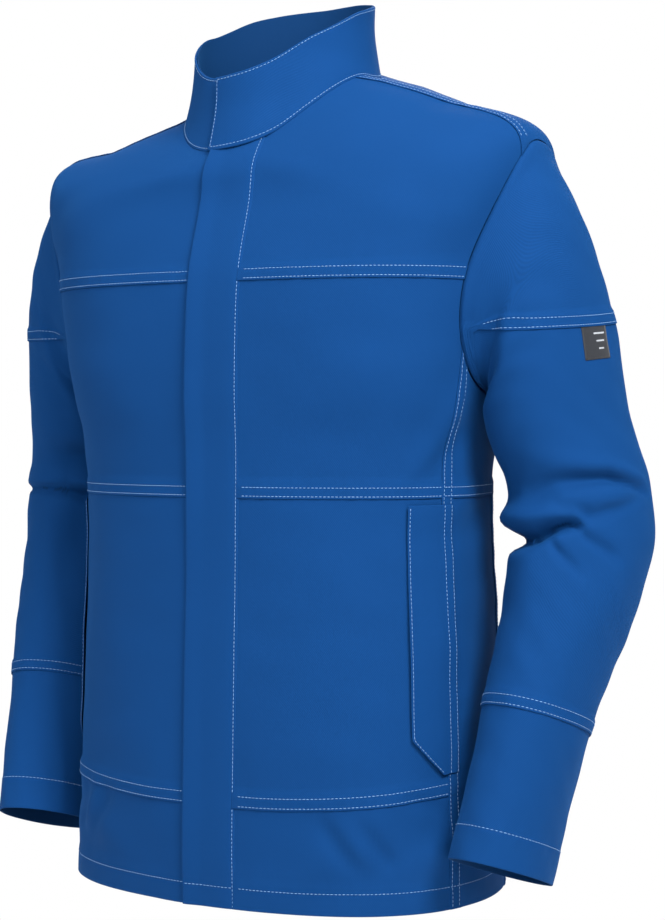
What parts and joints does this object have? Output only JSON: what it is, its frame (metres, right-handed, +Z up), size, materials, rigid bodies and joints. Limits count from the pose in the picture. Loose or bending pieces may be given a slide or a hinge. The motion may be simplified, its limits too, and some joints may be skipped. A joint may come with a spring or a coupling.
{
  "type": "work jacket",
  "caption": "Hip-length welder's work jacket with stand collar, covered press-stud front, seamed side pockets with flaps and long set-in sleeves.",
  "frame": {"origin": "the neck point where the jacket rests on the wearer, on the middle plane, at the height of the neck seam at the shoulder", "axes": "+Z up, -Y out of the front, +X to the wearer's left"},
  "size_m": [0.6328, 0.3025, 0.8061],
  "materials": {
    "cloth": "heavy woven twill, royal blue",
    "lining": "wrong side of the same twill, darker blue",
    "patch": "hook and loop pile",
    "label": "woven label, dark grey",
    "metal": "nickelled press studs"
  },
  "bodies": {
    "torso": {"front_hem_left": "cloth", "front_hem_right": "cloth", "front_lower_left": "cloth", "front_lower_right": "cloth", "front_chest_left": "cloth", "front_chest_right": "cloth", "front_yoke_left": "cloth", "front_yoke_right": "cloth", "side_lower_left": "cloth", "side_lower_right": "cloth", "side_upper_left": "cloth", "side_upper_right": "cloth", "back_lower": "cloth", "back_upper": "cloth", "back_yoke": "cloth", "underlap": "lining", "stud_1": "metal", "stud_2": "metal", "stud_3": "metal", "stud_4": "metal", "stud_5": "metal", "stud_6": "metal", "pocket_pouch_left": "lining", "pocket_pouch_right": "lining", "collar_left": "cloth", "collar_right": "cloth", "collar_lining": "lining", "collar_loop": "patch"},
    "fly": {"fly": "lining", "socket_1": "metal", "socket_2": "metal", "socket_3": "metal", "socket_4": "metal", "socket_5": "metal", "socket_6": "metal"},
    "placket": {"placket_cover": "cloth"},
    "collar_tab": {"collar_tab": "cloth", "collar_hook": "patch"},
    "flap_left": {"pocket_flap_left": "cloth"},
    "flap_right": {"pocket_flap_right": "cloth"},
    "upper_sleeve_left": {"sleeve_cap_left": "cloth", "sleeve_upper_left": "cloth", "sleeve_label": "label"},
    "upper_sleeve_right": {"sleeve_cap_right": "cloth", "sleeve_upper_right": "cloth"},
    "lower_sleeve_left": {"sleeve_lower_left": "cloth", "sleeve_cuff_left": "cloth"},
    "lower_sleeve_right": {"sleeve_lower_right": "cloth", "sleeve_cuff_right": "cloth"},
    "hanger": {"hanger_loop": "lining"}
  },
  "joints": [
    {"name": "placket_hinge", "type": "hinge", "parent": "torso", "child": "placket", "pos_m": [0.033, -0.1514, -0.4], "axis": [0, 0, 1], "range_deg": [0, 110]},
    {"name": "fly_hinge", "type": "hinge", "parent": "torso", "child": "fly", "pos_m": [0.033, -0.1514, -0.4], "axis": [0, 0, 1], "range_deg": [0, 55]},
    {"name": "collar_tab_hinge", "type": "hinge", "parent": "torso", "child": "collar_tab", "pos_m": [0.05104, -0.0938, -0.0445], "axis": [-0.0651, 0.1575, 0.9854], "range_deg": [0, 100]},
    {"name": "pocket_flap_hinge_left", "type": "hinge", "parent": "torso", "child": "flap_left", "pos_m": [0.1931, -0.0562, -0.596], "axis": [-0.0353, 0.0088, 0.9993], "range_deg": [0, 40]},
    {"name": "pocket_flap_hinge_right", "type": "hinge", "parent": "torso", "child": "flap_right", "pos_m": [-0.1931, -0.0562, -0.596], "axis": [-0.0353, -0.0088, -0.9993], "range_deg": [0, 40]},
    {"name": "shoulder_left", "type": "hinge", "parent": "torso", "child": "upper_sleeve_left", "pos_m": [0.248, 0.008, -0.051], "axis": [0, -1, 0], "range_deg": [0, 60]},
    {"name": "shoulder_right", "type": "hinge", "parent": "torso", "child": "upper_sleeve_right", "pos_m": [-0.248, 0.008, -0.051], "axis": [0, 1, 0], "range_deg": [0, 60]},
    {"name": "elbow_left", "type": "hinge", "parent": "upper_sleeve_left", "child": "lower_sleeve_left", "pos_m": [0.2634, -0.0228, -0.3692], "axis": [-1, 0, 0], "range_deg": [0, 75]},
    {"name": "elbow_right", "type": "hinge", "parent": "upper_sleeve_right", "child": "lower_sleeve_right", "pos_m": [-0.2634, -0.0228, -0.3692], "axis": [-1, 0, 0], "range_deg": [0, 75]},
    {"name": "hanger_swing", "type": "hinge", "parent": "torso", "child": "hanger", "pos_m": [0, 0.0613, 0.03108], "axis": [1, 0, 0], "range_deg": [-80, 25]}
  ],
  "couplings": [
    {"joint": "fly_hinge", "follows": "placket_hinge", "ratio": 0.5}
  ]
}
